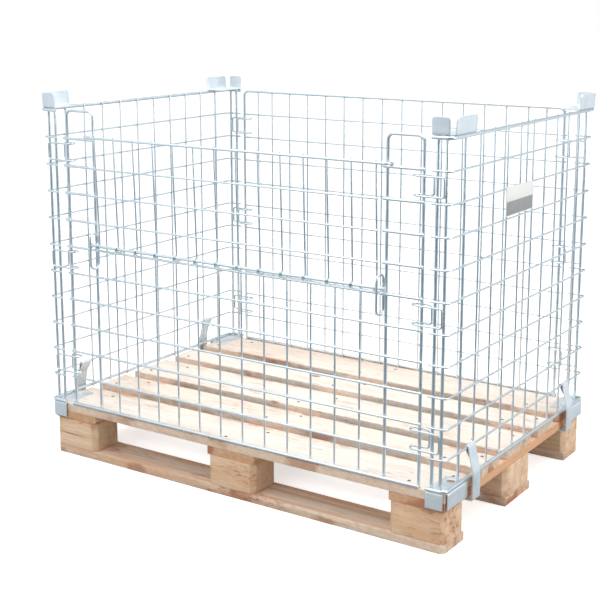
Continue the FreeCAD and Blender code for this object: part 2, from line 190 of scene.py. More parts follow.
def sawn_pine(name, pale, latewood, warm, knots, fleck, streaks):
    """Rough sawn softwood: solid rings round a pith under the board, knots, fibres, saw marks, end grain."""
    year_width = 0.0046
    f = Finish(name, specular_ior_level=0.25)
    grain = f.read("grain", "Vector")
    along, across, _ = f.node("ShaderNodeSeparateXYZ", {0: grain}).outputs
    sway = f.stretched(grain, (1.6, 11.0, 11.0), 3.0, 0.5, "Color")
    sway = f.vec("MULTIPLY", f.vec("SUBTRACT", sway, (0.5, 0.5, 0.5)), (0.0, 0.030, 0.030))
    # knots run through the thickness, longer along the grain than across it
    flat = f.node("ShaderNodeCombineXYZ", {"X": f.sums("MULTIPLY", along, 5.2), "Y": f.sums("MULTIPLY", across, 10.0),
                                           "Z": 0.0}).outputs[0]
    wobble = f.vec("MULTIPLY", f.stretched(grain, (40.0, 70.0, 0.0), 2.0, 0.5, "Color"), (0.06, 0.06, 0))
    cells = f.node("ShaderNodeTexVoronoi", {"Vector": f.vec("ADD", flat, wobble), "Scale": 1.0})
    chance = f.node("ShaderNodeSeparateXYZ", {0: cells.outputs["Color"]}).outputs
    here = f.sums("GREATER_THAN", chance[0], knots)
    size = f.span(chance[1], 0.0, 1.0, 0.045, 0.13)
    near = f.sums("DIVIDE", cells.outputs["Distance"], size)
    knot = f.sums("MULTIPLY", here, f.span(near, 1.05, 0.85, smooth=True))
    rim = f.sums("MULTIPLY", f.span(near, 0.75, 1.0, smooth=True), f.span(near, 1.45, 1.0, smooth=True))
    rim = f.sums("MULTIPLY", here, rim)
    swell = f.sums("MULTIPLY", here, f.span(near, 4.0, 0.6, 0.0, 0.011, smooth=True))
    # year rings round a pith that drifts along the board
    ring_at = f.vec("ADD", f.vec("MULTIPLY", grain, (0.0, 1.0, 1.0)), sway)
    drift = f.sums("MULTIPLY", f.stretched(grain, (1.3, 0.6, 0.6), 1.0), 0.10)
    ring_at = f.vec("ADD", ring_at, f.node("ShaderNodeCombineXYZ", {"X": 0.0, "Y": 0.0, "Z": drift}).outputs[0])
    radius = f.sums("ADD", f.vec("LENGTH", ring_at), swell)
    year = f.sums("FRACT", f.sums("DIVIDE", radius, year_width))
    late = f.sums("MULTIPLY", f.span(year, 0.35, 0.92, smooth=True), f.span(year, 1.0, 0.95))
    fibre = f.stretched(grain, (9.0, 420.0, 420.0), 3.0, 0.6)
    cut = f.read("cut")
    colour = f.blend(f.sums("MULTIPLY", late, f.sums("ADD", 0.55, f.sums("MULTIPLY", cut, 0.35))), pale, latewood)
    tone = f.span(f.stretched(grain, (1.1, 7.0, 7.0), 2.0), 0.3, 0.7, -0.12, 0.16)
    tone = f.sums("ADD", f.read("tone"), tone, clamp=True)
    colour = f.blend(tone, colour, f.blend(late, warm, latewood))
    bands = f.span(f.stretched(grain, (2.0, 48.0, 48.0), 3.0, 0.55), 0.44, 0.64, 0.0, streaks)
    colour = f.blend(bands, colour, warm)
    colour = f.blend(f.span(fibre, 0.25, 0.75, 0.22, 0.0), colour, latewood, "MULTIPLY")
    torn = f.span(f.stretched(grain, (3.5, 11.0, 11.0), 2.0), 0.52, 0.64)
    torn = f.sums("MULTIPLY", torn, fleck)
    colour = f.blend(f.sums("MULTIPLY", torn, 0.42), colour, (0.66, 0.34, 0.20, 1))
    flecks = f.span(f.stretched(grain, (26.0, 120.0, 120.0), 4.0, 0.7), 0.50, 0.62)
    flecks = f.sums("MULTIPLY", flecks, f.sums("MULTIPLY_ADD", torn, 0.8, 0.12))
    colour = f.blend(flecks, colour, (0.30, 0.13, 0.06, 1))
    stain = f.span(f.stretched(grain, (5.0, 9.0, 9.0), 4.0, 0.6), 0.52, 0.76, 0.0, 0.34)
    colour = f.blend(stain, colour, (0.50, 0.38, 0.28, 1))
    colour = f.blend(f.sums("MULTIPLY", cut, 0.35), colour, (0.62, 0.40, 0.22, 1), "MULTIPLY")
    worn = f.read("arris")
    crushed = f.sums("MULTIPLY", worn, f.span(f.stretched(grain, (60.0, 90.0, 90.0), 3.0), 0.4, 0.65))
    colour = f.blend(f.sums("MULTIPLY", crushed, 0.5), colour, (0.55, 0.36, 0.21, 1))
    bark = f.span(f.stretched(grain, (6.0, 9.0, 9.0), 3.0), 0.57, 0.63)
    bark = f.sums("MULTIPLY", bark, f.sums("MULTIPLY", worn, 1.1, clamp=True))
    colour = f.blend(bark, colour, (0.46, 0.21, 0.12, 1))
    knot_wood = f.blend(fibre, (0.40, 0.19, 0.08, 1), (0.55, 0.30, 0.14, 1))
    colour = f.blend(f.sums("MULTIPLY", knot, 0.82), colour, knot_wood)
    colour = f.blend(f.sums("MULTIPLY", rim, 0.7), colour, (0.24, 0.11, 0.05, 1))
    line = f.sums("ABSOLUTE", f.sums("SUBTRACT", f.stretched(grain, (2.6, 75.0, 75.0), 1.0), 0.5))
    split = f.sums("MULTIPLY", f.sums("MULTIPLY", f.span(line, 0.0, 0.009, 1.0, 0.0), f.span(cut, 0.0, 0.3, 1.0, 0.0)),
                   f.span(f.stretched(grain, (7.0, 16.0, 16.0), 1.0), 0.55, 0.62))
    colour = f.blend(f.sums("MULTIPLY", split, 0.75), colour, (0.20, 0.11, 0.06, 1))
    rough = f.span(fibre, 0.2, 0.8, 0.86, 0.66)
    saw = f.stretched(grain, (330.0, 26.0, 26.0), 1.0)
    normal = f.bump(saw, 0.0005, 0.35)
    normal = f.bump(fibre, 0.0006, 0.6, normal)
    normal = f.bump(f.sums("SUBTRACT", late, f.sums("MULTIPLY", rim, 1.5)), 0.0003, 0.5, normal)
    return f.finish(colour, rough, normal)


def driven_nail():
    f = Finish("driven_nail", metallic=0.75)
    place = f.place()
    rust = f.span(f.noise(place, 420.0, 3.0, 0.6), 0.45, 0.65)
    colour = f.blend(rust, (0.20, 0.19, 0.18, 1), (0.20, 0.10, 0.05, 1))
    return f.finish(colour, f.span(rust, 0.0, 1.0, 0.42, 0.75), f.bump(f.noise(place, 900.0, 2.0), 0.0002, 0.7))


def card_face(name, colour, soiled):
    f = Finish(name, roughness=0.5)
    place = f.place()
    scuff = f.span(f.stretched(place, (60.0, 60.0, 260.0), 4.0, 0.7), 0.55, 0.8, 0.0, 0.35)
    cloud = f.noise(place, 30.0, 3.0)
    shade = f.blend(f.span(cloud, 0.3, 0.7, 0.0, 0.2), colour, soiled)
    shade = f.blend(f.sums("MULTIPLY", f.read("arris"), 0.5), shade, soiled)
    return f.finish(f.blend(scuff, shade, soiled), f.span(cloud, 0.3, 0.7, 0.38, 0.55),
                    f.bump(f.noise(place, 320.0, 2.0), 0.0001, 0.5))


def pale_floor():
    """White sweep, evenly lit where it is seen.

    The metal mirrors another floor: mid-grey close by, further off bright at the sides and dim in front and behind.
    """
    f = Finish("pale_floor", roughness=0.9)
    place = f.place()
    seen_tone = f.blend(f.span(f.noise(place, 1.5, 3.0), 0.3, 0.7), (0.90, 0.90, 0.90, 1), (0.93, 0.93, 0.93, 1))
    path = f.node("ShaderNodeLightPath").outputs
    f.finish(f.blend(path["Is Camera Ray"], (0.56, 0.53, 0.50, 1), seen_tone))
    glow = f.sums("MULTIPLY", path["Is Camera Ray"], 0.55)
    lift = f.node("ShaderNodeEmission", {"Color": (1, 1, 1, 1), "Strength": glow}).outputs[0]
    seen = f.node("ShaderNodeAddShader", {0: f.shader.outputs[0], 1: lift}).outputs[0]
    far = f.span(f.vec("LENGTH", place), 0.75, 1.6)
    ahead = f.vec("DOT_PRODUCT", f.vec("NORMALIZE", place), ROOM_FRONT)
    off = f.blend(f.span(ahead, -0.4, 0.4), (1.00, 1.02, 1.04, 1), (0.44, 0.54, 0.63, 1))
    off = f.blend(f.span(ahead, 0.4, 1.0), off, (0.20, 0.24, 0.26, 1))
    off = f.blend(f.span(ahead, -0.4, -0.9), off, (0.42, 0.46, 0.49, 1))
    shade = f.blend(far, (0.44, 0.47, 0.50, 1), off)
    mirrored = f.node("ShaderNodeEmission", {"Color": shade, "Strength": 1.0}).outputs[0]
    mixed = f.node("ShaderNodeMixShader", {0: path["Is Glossy Ray"], 1: seen, 2: mirrored}).outputs[0]
    f.tree.links.new(mixed, f.tree.nodes["Material Output"].inputs[0])
    return f.material


zinc_wire = bright_zinc_wire()
zinc_sheet = plated_sheet()
zinc_weld = weld_metal()
deck_pine = sawn_pine("deck_pine", (0.90, 0.86, 0.81, 1), (0.81, 0.69, 0.58, 1), (0.82, 0.59, 0.41, 1), 0.5, 0.32, 0.28)
cross_pine = sawn_pine("cross_pine", (0.90, 0.70, 0.53, 1), (0.66, 0.40, 0.24, 1), (0.74, 0.38, 0.20, 1), 0.55, 0.9, 0.6)
skid_pine = sawn_pine("skid_pine", (0.94, 0.84, 0.74, 1), (0.78, 0.58, 0.42, 1), (0.76, 0.44, 0.26, 1), 0.5, 1.0, 0.7)
block_pine = sawn_pine("block_pine", (0.95, 0.80, 0.63, 1), (0.78, 0.56, 0.37, 1), (0.76, 0.47, 0.27, 1), 0.8, 0.9, 0.6)
nail_head = driven_nail()
white_card = card_face("white_card", (0.88, 0.88, 0.87, 1), (0.66, 0.66, 0.64, 1))
grey_card = card_face("grey_card", (0.33, 0.33, 0.34, 1), (0.22, 0.22, 0.22, 1))


# ------------------------------------------------------------------ making and attaching pieces
def solids(node, *axes, gap=20 * MM):
    """Boxes of a CAD node's separate solids, told apart by the gaps between them along the axes."""
    groups = [np.array([v.co for v in frame["nodes"][node].data.vertices])]
    for axis in axes:
        parted = []
        for g in groups:
            g = g[np.argsort(g[:, axis])]
            gaps = np.where(np.diff(g[:, axis]) > gap)[0] + 1
            parted += np.split(g, gaps)
        groups = parted
    return [(Vector(g.min(0)), Vector(g.max(0))) for g in groups]


def hand_in(piece, body, slot, *nodes):
    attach(piece, body)
    if nodes:
        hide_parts(*nodes)
    return piece


def new_piece(name, mesh, material):
    piece = bpy.data.objects.new(name, mesh)
    bpy.context.scene.collection.objects.link(piece)
    if not mesh.materials:
        mesh.materials.append(material)
    return piece


def settle(piece):
    """Turns what the modifiers make into a plain mesh and takes the modifiers off."""
    graph = bpy.context.evaluated_depsgraph_get()
    graph.update()
    made = bpy.data.meshes.new_from_object(piece.evaluated_get(graph))
    made.name = piece.name
    materials = [m for m in piece.data.materials if m]
    piece.modifiers.clear()
    piece.data = made
    if not made.materials:
        for m in materials:
            made.materials.append(m)
    return piece


def start_edit(mesh):
    bm = bmesh.new()
    bm.from_mesh(mesh)
    return bm


def end_edit(bm, mesh, angle=None):
    """Writes an edited shape into its mesh; with an angle, edges that turn less than it are shaded smooth."""
    bm.to_mesh(mesh)
    bm.free()
    if angle is not None:
        mesh.shade_smooth()
        mesh.set_sharp_from_angle(angle=math.radians(angle))
    return mesh


def tidy_normals(mesh, angle=40):
    bm = start_edit(mesh)
    bmesh.ops.remove_doubles(bm, verts=bm.verts, dist=0.01 * MM)
    bmesh.ops.dissolve_degenerate(bm, edges=bm.edges, dist=0.01 * MM)
    bmesh.ops.recalc_face_normals(bm, faces=bm.faces)
    end_edit(bm, mesh, angle)


def put_attribute(mesh, name, values, kind="FLOAT"):
    layer = mesh.attributes.new(name, kind, "POINT")
    layer.data.foreach_set("vector" if kind == "FLOAT_VECTOR" else "value", np.array(values, float).ravel())


# ------------------------------------------------------------------ geometry node trees
class Tree:
    """A geometry node tree with named inputs."""

    def __init__(self, name, inputs):
        self.tree = bpy.data.node_groups.new(name, "GeometryNodeTree")
        face = self.tree.interface
        face.new_socket("Geometry", in_out="INPUT", socket_type="NodeSocketGeometry")
        self.ids = {}
        for label, kind in inputs:
            self.ids[label] = face.new_socket(label, in_out="INPUT", socket_type=kind).identifier
        face.new_socket("Geometry", in_out="OUTPUT", socket_type="NodeSocketGeometry")
        self.entry = self.tree.nodes.new("NodeGroupInput")
        self.exit = self.tree.nodes.new("NodeGroupOutput")

    def given(self, label):
        return self.entry.outputs[label]

    def node(self, kind, values=(), **settings):
        return add_node(self.tree, kind, values, **settings)

    def point_value(self, name, kind="FLOAT"):
        return self.node("GeometryNodeInputNamedAttribute", {"Name": name}, data_type=kind).outputs[0]

    def close(self, geometry, finish):
        """Every tree ends by realizing its instances and setting its finish."""
        real = self.node("GeometryNodeRealizeInstances", {"Geometry": geometry})
        painted = self.node("GeometryNodeSetMaterial", {"Geometry": real.outputs[0], "Material": finish})
        self.tree.links.new(painted.outputs[0], self.exit.inputs[0])

    def use_on(self, piece, **values):
        modifier = piece.modifiers.new(self.tree.name, "NODES")
        modifier.node_group = self.tree
        for label, value in values.items():
            modifier[self.ids[label.replace("_", " ").capitalize()]] = value
        return settle(piece)


def bent_wire_tree():
    """Sweeps round wire along edge chains: rounds each bend, lets the run wander a hair, closes the ends."""
    t = Tree("bent wire", (("Bend steps", "NodeSocketInt"), ("Cuts", "NodeSocketInt"), ("Sides", "NodeSocketInt"),
                           ("Wander", "NodeSocketFloat"), ("Seed", "NodeSocketFloat"), ("Finish", "NodeSocketMaterial")))
    run = t.node("GeometryNodeMeshToCurve", {"Mesh": t.entry.outputs["Geometry"]}).outputs[0]
    run = t.node("GeometryNodeFilletCurve", {"Curve": run, "Count": t.given("Bend steps"), "Limit Radius": True,
                                             "Radius": t.point_value("bend")}, mode="POLY").outputs[0]
    run = t.node("GeometryNodeSubdivideCurve", {"Curve": run, "Cuts": t.given("Cuts")}).outputs[0]
    where = t.node("GeometryNodeInputPosition").outputs[0]
    drift = t.node("ShaderNodeTexNoise", {"Vector": where, "W": t.given("Seed"), "Scale": 7.0, "Detail": 1.0},
                   noise_dimensions="4D").outputs["Color"]
    drift = t.node("ShaderNodeVectorMath", {0: drift, 1: (0.5, 0.5, 0.5)}, operation="SUBTRACT").outputs[0]
    drift = t.node("ShaderNodeVectorMath", {0: drift, "Scale": t.given("Wander")}, operation="SCALE").outputs[0]
    run = t.node("GeometryNodeSetPosition", {"Geometry": run, "Offset": drift}).outputs[0]
    run = t.node("GeometryNodeStoreNamedAttribute", {
        "Geometry": run, "Name": "run", "Value": t.node("GeometryNodeSplineParameter").outputs["Length"]},
        data_type="FLOAT", domain="POINT").outputs[0]
    round_section = t.node("GeometryNodeCurvePrimitiveCircle", {"Resolution": t.given("Sides"), "Radius": 1.0},
                           mode="RADIUS").outputs[0]
    round_section = t.node("GeometryNodeStoreNamedAttribute", {
        "Geometry": round_section, "Name": "rim", "Value": t.node("GeometryNodeInputPosition").outputs[0]},
        data_type="FLOAT_VECTOR", domain="POINT").outputs[0]
    wire = t.node("GeometryNodeCurveToMesh", {"Curve": run, "Profile Curve": round_section,
                                              "Scale": t.point_value("thick"), "Fill Caps": True}).outputs[0]
    wire = t.node("GeometryNodeMergeByDistance", {"Geometry": wire, "Distance": 0.02 * MM}).outputs[0]
    wire = t.node("GeometryNodeSetShadeSmooth", {"Geometry": wire}).outputs[0]
    t.close(wire, t.given("Finish"))
    return t


def bead_tree():
    """Sets a squashed, slightly random lump of metal on every point, laid along the point's lay."""
    t = Tree("beads", (("Smallest", "NodeSocketFloat"), ("Largest", "NodeSocketFloat"), ("Seed", "NodeSocketInt"),
                       ("Finish", "NodeSocketMaterial")))
    lump = t.node("GeometryNodeMeshUVSphere", {"Segments": 8, "Rings": 5, "Radius": 1.0}).outputs[0]
    lump = t.node("GeometryNodeSetShadeSmooth", {"Geometry": lump}).outputs[0]
    turn = t.node("FunctionNodeAlignRotationToVector", {"Vector": t.point_value("lay", "FLOAT_VECTOR")},
                  axis="X").outputs[0]
    size = t.node("FunctionNodeRandomValue", {2: t.given("Smallest"), 3: t.given("Largest"), "Seed": t.given("Seed")},
                  data_type="FLOAT").outputs[1]
    size = t.node("ShaderNodeVectorMath", {0: t.point_value("spread", "FLOAT_VECTOR"), "Scale": size},
                  operation="SCALE").outputs[0]
    set_down = t.node("GeometryNodeInstanceOnPoints", {"Points": t.entry.outputs["Geometry"], "Instance": lump,
                                                       "Rotation": turn, "Scale": size}).outputs[0]
    t.close(set_down, t.given("Finish"))
    return t


def nail_tree():
    """Drives a round, slightly dished nail head at every point, each a little off square."""
    t = Tree("nail heads", (("Head radius", "NodeSocketFloat"), ("Head height", "NodeSocketFloat"),
                            ("Tilt", "NodeSocketFloat"), ("Seed", "NodeSocketInt"), ("Finish", "NodeSocketMaterial")))
    head = t.node("GeometryNodeMeshCone", {"Vertices": 12, "Side Segments": 1, "Fill Segments": 1,
                                           "Radius Top": t.node("ShaderNodeMath", {0: t.given("Head radius"), 1: 0.8},
                                                                operation="MULTIPLY").outputs[0],
                                           "Radius Bottom": t.given("Head radius"), "Depth": t.given("Head height")},
                  fill_type="NGON").outputs[0]
    lean = t.node("ShaderNodeMath", {0: t.given("Tilt"), 1: -1.0}, operation="MULTIPLY").outputs[0]
    lows = t.node("ShaderNodeCombineXYZ", {"X": lean, "Y": lean, "Z": -3.0}).outputs[0]
    highs = t.node("ShaderNodeCombineXYZ", {"X": t.given("Tilt"), "Y": t.given("Tilt"), "Z": 3.0}).outputs[0]
    turn = t.node("FunctionNodeRandomValue", {0: lows, 1: highs, "Seed": t.given("Seed")},
                  data_type="FLOAT_VECTOR").outputs[0]
    set_down = t.node("GeometryNodeInstanceOnPoints", {"Points": t.entry.outputs["Geometry"], "Instance": head,
                                                       "Rotation": turn}).outputs[0]
    t.close(set_down, t.given("Finish"))
    return t


wire_tree, beads, nails = bent_wire_tree(), bead_tree(), nail_tree()


# ------------------------------------------------------------------ wire
class Wire:
    """One length of round wire: its corner points, the bend radius at each, its diameter."""

    def __init__(self, points, thick, bends=None, closed=False):
        self.points = [Vector(p) for p in points]
        self.thick = thick
        self.bends = bends or [0.0] * len(points)
        self.closed = closed

    def runs(self):
        ends = list(zip(self.points, self.points[1:]))
        return ends + ([(self.points[-1], self.points[0])] if self.closed else [])


def straight(box, axis):
    lo, hi = box
    mid = (lo + hi) / 2
    a, b = mid.copy(), mid.copy()
    a[axis], b[axis] = lo[axis], hi[axis]
    other = [hi[i] - lo[i] for i in range(3) if i != axis]
    return Wire([a, b], min(other))


def in_box(box, thick, at, bends=None, closed=False):
    """Corner points given as fractions of the box that the wire's middle line fills."""
    lo, hi = box
    half = thick / 2
    corners = [[lo[i] + half + f * (hi[i] - lo[i] - thick) for i, f in enumerate(p)] for p in at]
    return Wire(corners, thick, bends, closed)


def wire_piece(node, wires, body="frame", sides=12, cuts=3, steps=6, wander=0.5 * MM):
    mesh = bpy.data.meshes.new(node)
    points, edges, bend, thick = [], [], [], []
    for w in wires:
        start = len(points)
        points += [tuple(p) for p in w.points]
        bend += w.bends
        thick += [w.thick / 2] * len(w.points)
        edges += [(start + i, start + i + 1) for i in range(len(w.points) - 1)]
        if w.closed:
            edges.append((start + len(w.points) - 1, start))
    mesh.from_pydata(points, edges, [])
    put_attribute(mesh, "bend", bend)
    put_attribute(mesh, "thick", thick)
    piece = new_piece(node + "_wire", mesh, zinc_wire)
    wire_tree.use_on(piece, bend_steps=steps, cuts=cuts, sides=sides, wander=wander, seed=float(len(node)),
                     finish=zinc_wire)
    if not wires[0].closed:
        nip_ends(piece.data, 0.5 * MM)
    return hand_in(piece, body, "zinc_wire", node)


def nip_ends(mesh, size):
    """Rounds the sheared rim of every wire end."""
    bm = start_edit(mesh)
    bmesh.ops.recalc_face_normals(bm, faces=bm.faces)
    rims = [e for e in bm.edges if len(e.link_faces) == 2 and e.calc_face_angle() > math.radians(60)]
    bmesh.ops.bevel(bm, geom=rims, offset=size, segments=2, profile=0.6, affect="EDGES")
    end_edit(bm, mesh, 50)


def hoops(node, side):
    """Level wires of an end panel, bent round both corners into short returns."""
    out = []
    for lo, hi in solids(node, 2):
        thick = hi.z - lo.z
        ends = (0, 1) if side > 0 else (1, 0)
        at = [(ends[0], 0, 0), (ends[1], 0, 0), (ends[1], 1, 0), (ends[0], 1, 0)]
        w = in_box((lo, hi), thick, at, [0, 12 * MM, 12 * MM, 0])
        for p in (w.points[0], w.points[-1]):
            p.x -= side * thick / 2
        out.append(w)
    return out


def arch(node):
    """A rod bent down at both ends."""
    lo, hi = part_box(node)
    w = in_box((lo, hi), hi.y - lo.y, [(0, 0, 0), (0, 0, 1), (1, 0, 1), (1, 0, 0)], [0, 15 * MM, 15 * MM, 0])
    for p in (w.points[0], w.points[-1]):
        p.z = lo.z
    return w


rods = {}
for name, s in SIDES:
    rods["end_bottom_rail_" + name] = hoops("end_bottom_rail_" + name, s)
    rods["end_top_rail_" + name] = hoops("end_top_rail_" + name, s)
    rods["end_level_wires_" + name] = hoops("end_level_wires_" + name, s)
    rods["end_uprights_" + name] = [straight(b, 2) for b in solids("end_uprights_" + name, 1)]
    rods["corner_posts_" + name] = [straight(b, 2) for b in solids("corner_posts_" + name, 1, 0, gap=5 * MM)]
    rods["front_ladder_" + name] = [arch("front_ladder_" + name)]
rung_length = 103 * MM
rods["front_rungs"] = []
for lo, hi in solids("front_rungs", 2):
    for a, b in ((lo.x, lo.x + rung_length), (hi.x - rung_length, hi.x)):
        rods["front_rungs"].append(straight((Vector((a, lo.y, lo.z)), Vector((b, hi.y, hi.z))), 0))
rods["front_level_wires"] = [straight(b, 0) for b in solids("front_level_wires", 2)]
rods["front_sill_rod"] = [straight(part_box("front_sill_rod"), 0)]
rods["front_bottom_rail"] = [straight(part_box("front_bottom_rail"), 0)]
rods["front_uprights"] = [straight(b, 2) for b in solids("front_uprights", 0)]
rods["back_frame"] = [arch("back_frame")]
rods["back_level_wires"] = [straight(b, 0) for b in solids("back_level_wires", 2)]
rods["back_bottom_rail"] = [straight(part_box("back_bottom_rail"), 0)]
rods["back_uprights"] = [straight(b, 2) for b in solids("back_uprights", 0)]
for node, wires in rods.items():
    wire_piece(node, wires)

# a hinge ring is an oblong loop, welded outside the end wall's corner post and bent in a U round the next wall's rod
panel_rod_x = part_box("back_frame")[1].x - 4 * MM
ring_return = 20 * MM
for name, s, t in CORNERS:
    node = "hinge_rings_" + name
    rings = []
    for lo, hi in solids(node, 2, gap=100 * MM):
        half = 2.5 * MM
        x_out, x_turn = (hi.x - half, lo.x + half) if s > 0 else (lo.x + half, hi.x - half)
        x_back = s * (panel_rod_x + ring_return)
        y_out, y_in = (hi.y - half, lo.y + half) if t > 0 else (lo.y + half, hi.y - half)
        z0, z1 = lo.z + half, hi.z - half
        turn = abs(y_out - y_in) / 2 * ROUND_END
        rings.append(Wire([(x_out, y_out, z0), (x_out, y_out, z1), (x_turn, y_out, z1), (x_turn, y_in, z1),
                           (x_back, y_in, z1), (x_back, y_in, z0), (x_turn, y_in, z0), (x_turn, y_out, z0)],
                          2 * half, [6 * MM, 6 * MM, turn, turn, 6 * MM, 6 * MM, turn, turn], True))
    wire_piece(node, rings, cuts=1, steps=8)
    rods[node] = rings

guides = []
for box in solids("gate_guide_rings", 0):
    thick = box[1].x - box[0].x
    turn = (box[1].y - box[0].y - thick) / 2 * ROUND_END
    guides.append(in_box(box, thick, [(0, 1, 1), (0, 0, 1), (0, 0, 0), (0, 1, 0)], [turn] * 4, True))
wire_piece("gate_guide_rings", guides, cuts=1, steps=10, wander=0.0)
rods["gate_guide_rings"] = guides

# ------------------------------------------------------------------ drop gate
lo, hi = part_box("gate_top_rod")
top_rod = in_box((lo, hi), 7 * MM, [(0, 1, 0), (0, 1, 1), (0, 0, 1), (1, 0, 1), (1, 1, 1), (1, 1, 0)],
                 [0, 7 * MM, 7 * MM, 7 * MM, 7 * MM, 0])
for p in (top_rod.points[0], top_rod.points[-1]):
    p.z = lo.z
wire_piece("gate_top_rod", [top_rod], "gate", sides=14)
gate_levels = [straight(b, 0) for b in solids("gate_cross_wires", 2)]
wire_piece("gate_cross_wires", gate_levels, "gate")

# the uprights lean outwards a little, and each is curled round the pivot rod, its middle line at eye's distance
pivot = Vector(joints["gate_fold"]["pos_m"])
lean = math.radians(2.0)
up = Vector((0, -math.sin(lean), math.cos(lean)))
out = Vector((0, -math.cos(lean), -math.sin(lean)))
eye = 6.65 * MM
gate_uprights = []
for lo, hi in solids("gate_uprights", 0):
    foot = Vector(((lo.x + hi.x) / 2, pivot.y, pivot.z))
    rise = (hi.z - foot.z - eye * math.sin(lean)) / math.cos(lean)
    turns = [math.radians(10 * i) for i in range(28)]
    curl = [foot - out * eye * math.cos(a) - up * eye * math.sin(a) for a in turns]
    gate_uprights.append(Wire([foot + up * rise - out * eye] + curl, 5 * MM))
wire_piece("gate_uprights", gate_uprights, "gate", cuts=1, wander=0.0)


def turned(name, profile, centre, side, sides=24):
    """A solid turned about a line along X; the profile lists how far out and at what radius."""
    bm = bmesh.new()
    round_it = [2 * math.pi * i / sides for i in range(sides)]
    rings = []
    for along, radius in profile:
        x = centre.x + side * along
        rings.append([bm.verts.new((x, centre.y + radius * math.cos(a), centre.z + radius * math.sin(a)))
                      for a in round_it])
    for a, b in zip(rings, rings[1:]):
        for i in range(sides):
            bm.faces.new((a[i], a[(i + 1) % sides], b[(i + 1) % sides], b[i]))
    bm.faces.new(rings[0])
    bm.faces.new(rings[-1])
    bmesh.ops.recalc_face_normals(bm, faces=bm.faces)
    return end_edit(bm, bpy.data.meshes.new(name))


def join(name, meshes):
    bm = bmesh.new()
    for m in meshes:
        bm.from_mesh(m)
        bpy.data.meshes.remove(m)
    return end_edit(bm, bpy.data.meshes.new(name))


lo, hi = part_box("gate_pivot_rod")
mid = (lo + hi) / 2
head, r = 3 * MM, 4 * MM
half = (hi.x - lo.x) / 2
# bar with upset heads at both ends, each a flattened dome struck in place
upset = [(0, r)] + [(out * MM, radius * MM) for out, radius in (
    (0.0, 6.2), (0.5, 6.8), (1.6, 7.0), (2.3, 6.5), (2.75, 5.0), (2.95, 2.6), (3.0, 0.9))]
bar_end = half - head - 0.1 * MM
along_bar = [-bar_end] + list(np.linspace(-half + 20 * MM, half - 20 * MM, 9)) + [bar_end]
bar = turned("pivot_bar", [(x, r) for x in along_bar], mid, 1)
heads = [turned("pivot_head", upset, Vector((mid.x + s * (half - head), mid.y, mid.z)), s) for s in (-1, 1)]
pivot_mesh = join("gate_pivot_rod_bar", [bar] + heads)
around_bar = [((v.co.y - mid.y) / r, (v.co.z - mid.z) / r, 0) for v in pivot_mesh.vertices]
put_attribute(pivot_mesh, "rim", around_bar, "FLOAT_VECTOR")
put_attribute(pivot_mesh, "run", [v.co.x for v in pivot_mesh.vertices])
pivot_mesh.shade_smooth()
pivot_mesh.set_sharp_from_angle(angle=math.radians(45))
hand_in(new_piece("gate_pivot_rod_bar", pivot_mesh, zinc_wire), "gate_rod", "zinc_wire", "gate_pivot_rod")


# ------------------------------------------------------------------ welds
WELD_GAP = 1.2 * MM  # wires no further apart than this are welded
CROSSING = 0.2  # squared sine of the angle above which two wires cross
UP = Vector((0, 0, 1))
RING_BEAD, POST_BEAD, RAIL_BEAD = (Vector(size) * MM for size in ((3.6, 1.6, 1.6), (2.4, 1.8, 1.6), (3.0, 1.7, 1.6)))


def touches(wires_a, wires_b):
    """Where a wire of one set is welded across a wire of the other, and how the joint lies."""
    found = []
    for wa in wires_a:
        for a0, a1 in wa.runs():
            for wb in wires_b:
                for b0, b1 in wb.runs():
                    # nearest points of the two runs
                    u, v, w = a1 - a0, b1 - b0, a0 - b0
                    uu, uv, vv, uw, vw = u.dot(u), u.dot(v), v.dot(v), u.dot(w), v.dot(w)
                    den = uu * vv - uv * uv
                    if den <= CROSSING * uu * vv:
                        continue
                    p = (uv * vw - vv * uw) / den
                    q = (uu * vw - uv * uw) / den
                    if not (-0.01 <= p <= 1.01 and -0.01 <= q <= 1.01):
                        continue
                    pa, pb = a0 + u * p, b0 + v * q
                    apart, reach = (pb - pa).length, (wa.thick + wb.thick) / 2
                    if 0.5 * reach < apart < reach + WELD_GAP:
                        thin = min(wa.thick, wb.thick)
                        at = pa + (pb - pa) * wa.thick / (wa.thick + wb.thick)
                        size = Vector((thin * 0.60, thin * 0.40, thin * 0.40))
                        along_a, along_b = u.normalized(), v.normalized()
                        found += [(at, lay.normalized(), size) for lay in (along_a + along_b, along_a - along_b)]
    return found


def bead_piece(name, marks, body, seed):
    mesh = bpy.data.meshes.new(name)
    mesh.from_pydata([tuple(m[0]) for m in marks], [], [])
    put_attribute(mesh, "lay", [tuple(m[1]) for m in marks], "FLOAT_VECTOR")
    put_attribute(mesh, "spread", [tuple(m[2]) for m in marks], "FLOAT_VECTOR")
    piece = new_piece(name, mesh, zinc_weld)
    beads.use_on(piece, smallest=0.82, largest=1.12, seed=seed, finish=zinc_weld)
    return hand_in(piece, body, "zinc_wire")


